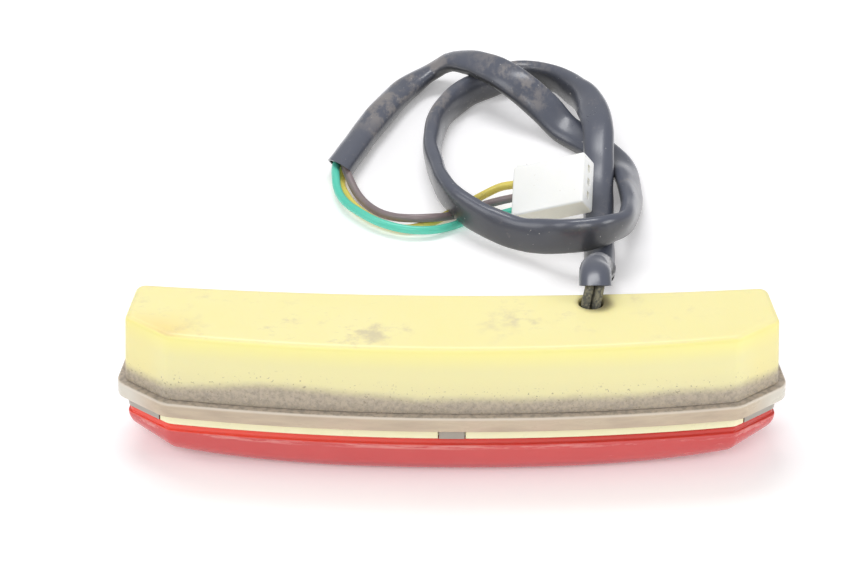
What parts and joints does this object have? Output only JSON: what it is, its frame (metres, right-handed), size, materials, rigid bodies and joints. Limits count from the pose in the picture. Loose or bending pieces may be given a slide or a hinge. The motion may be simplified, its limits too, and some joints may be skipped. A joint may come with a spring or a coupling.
{
  "type": "tail light",
  "caption": "Slim arched LED tail light with a red lens, clear flange and cream housing, with a sleeved harness and a latching plug.",
  "frame": {"origin": "under the middle of the lamp's own box, on the table it lies on, lens down", "axes": "+X along the lamp, +Y towards its concave rear side where the harness lies, +Z out of its back face"},
  "size_m": [0.1644, 0.2157, 0.0441],
  "materials": {
    "cream_housing": "aged cream translucent moulding, satin, dusty",
    "clear_base": "clear moulding gone grey-beige with dirt",
    "red_lens": "red moulded lens, glossy with scuffs",
    "tray": "bright cream moulding",
    "sealant": "cured sealant",
    "board": "green laminate",
    "led_red": "red epoxy",
    "led_clear": "clear epoxy",
    "resistor": "coated ceramic",
    "diode": "black epoxy",
    "screw": "zinc plated",
    "wire_green": "green PVC insulation",
    "wire_brown": "brown PVC insulation",
    "wire_yellow": "yellow PVC insulation",
    "sleeve": "black PVC sleeving, satin, dusty",
    "nylon": "natural nylon, milky",
    "contact": "tinned brass"
  },
  "bodies": {
    "lamp": {"board_screw_1": "screw", "board_screw_2": "screw", "cable_seal": "sealant", "cable_sleeve": "sleeve", "circuit_board": "board", "diode_1": "diode", "diode_2": "diode", "housing": "cream_housing", "lead_brown": "wire_brown", "lead_green": "wire_green", "lead_yellow": "wire_yellow", "lens_base": "clear_base", "plate_led_01": "led_clear", "plate_led_02": "led_clear", "plug_housing": "nylon", "red_led_01": "led_red", "red_led_02": "led_red", "red_led_03": "led_red", "red_led_04": "led_red", "red_led_05": "led_red", "red_led_06": "led_red", "red_led_07": "led_red", "red_led_08": "led_red", "red_led_09": "led_red", "red_led_10": "led_red", "red_led_11": "led_red", "red_led_12": "led_red", "red_lens": "red_lens", "reflector_tray": "tray", "resistor_1": "resistor", "resistor_2": "resistor", "resistor_3": "resistor", "sealing_bead": "sealant", "terminal_1": "contact", "terminal_2": "contact", "terminal_3": "contact", "wire_brown": "wire_brown", "wire_green": "wire_green", "wire_yellow": "wire_yellow"},
    "latch": {"plug_latch": "nylon"}
  },
  "joints": [
    {"name": "latch_press", "type": "hinge", "parent": "lamp", "child": "latch", "pos_m": [0.02935, 0.11789, 0.01507], "axis": [-0.4591, -0.4287, 0.7781], "range_deg": [0, 3.5], "stiffness_Nm_per_rad": 0.02}
  ]
}
